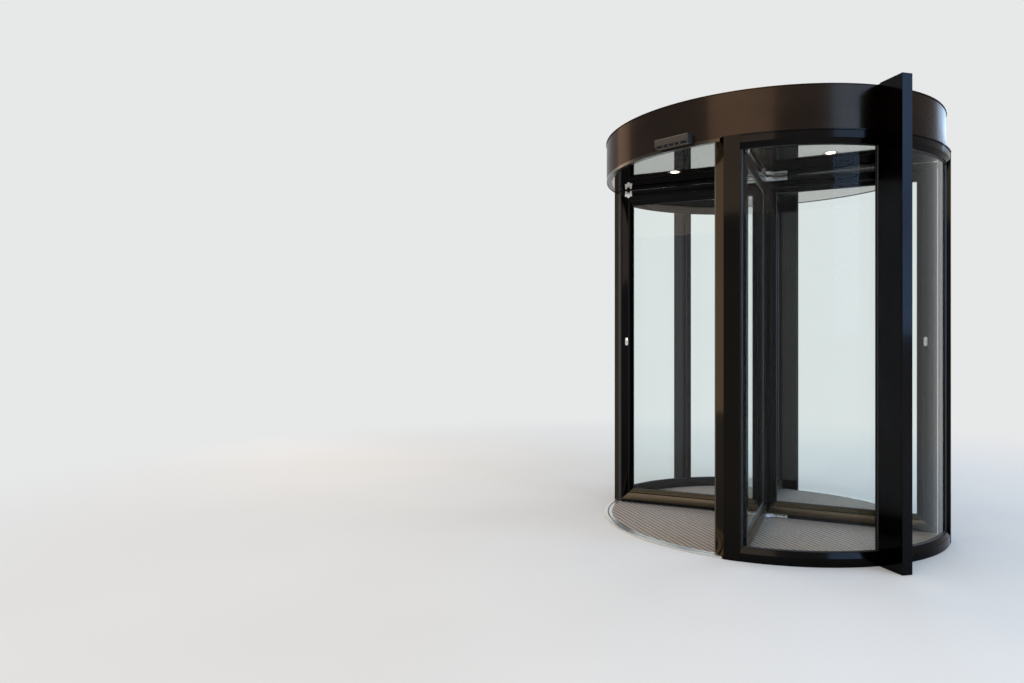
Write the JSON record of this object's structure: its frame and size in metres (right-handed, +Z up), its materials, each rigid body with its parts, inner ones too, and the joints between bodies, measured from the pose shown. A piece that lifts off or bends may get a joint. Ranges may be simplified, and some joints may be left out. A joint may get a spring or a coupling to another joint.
{
  "type": "revolving door",
  "caption": "Revolving door: glazed wings turning on a centre shaft in a round glass drum with a canopy, set half way through a facade.",
  "frame": {"origin": "centre of the drum on the finished floor", "axes": "+Z up along the shaft, -Y towards the lobby, +Y towards the street, X along the facade"},
  "size_m": [2.4306, 2.1, 2.515],
  "materials": {
    "bronze_frame": "gloss dark bronze coating",
    "bronze_fascia": "polished dark bronze sheet",
    "bronze_trim": "satin bronze",
    "gloss_ceiling": "mirror gloss",
    "curved_glass": "clear laminated",
    "wing_glass": "clear toughened",
    "bright_steel": "brushed",
    "mill_steel": "plain",
    "black_rubber": "matt",
    "mat": "ribbed",
    "sensor_plastic": "satin"
  },
  "bodies": {
    "drum": {"entrance_mat": "mat", "mat_trim": "bright_steel", "floor_bearing": "bright_steel", "right_base_rail": "bronze_frame", "left_base_rail": "bronze_frame", "right_head_rail": "bronze_frame", "left_head_rail": "bronze_frame", "lobby_right_glass": "curved_glass", "street_right_glass": "curved_glass", "street_left_glass": "curved_glass", "lobby_left_glass": "curved_glass", "lobby_right_post": "bronze_frame", "street_right_post": "bronze_frame", "street_left_post": "bronze_frame", "lobby_left_post": "bronze_frame", "right_facade_post": "bronze_frame", "left_facade_post": "bronze_frame", "finger_guards": "black_rubber", "ceiling_panel": "gloss_ceiling", "entrance_trims": "bronze_trim", "downlights": "bright_steel", "lobby_fascia": "bronze_fascia", "street_fascia": "bronze_fascia", "canopy_roof": "bronze_fascia", "canopy_beam": "mill_steel", "top_bearing": "mill_steel", "presence_sensors": "sensor_plastic"},
    "rotor": {"centre_shaft": "bronze_frame", "bottom_carrier": "bright_steel", "top_carrier": "bright_steel", "wing_1_frame": "bronze_frame", "wing_2_frame": "bronze_frame", "wing_3_frame": "bronze_frame", "wing_4_frame": "bronze_frame", "wing_1_glass": "wing_glass", "wing_2_glass": "wing_glass", "wing_3_glass": "wing_glass", "wing_4_glass": "wing_glass", "wing_1_seals": "black_rubber", "wing_2_seals": "black_rubber", "wing_3_seals": "black_rubber", "wing_4_seals": "black_rubber", "wing_locks": "bright_steel", "wing_catches": "bright_steel"}
  },
  "joints": [
    {"name": "rotor_spin", "type": "hinge", "parent": "drum", "child": "rotor", "pos_m": [0, 0, 0], "axis": [0, 0, 1], "continuous": true}
  ]
}
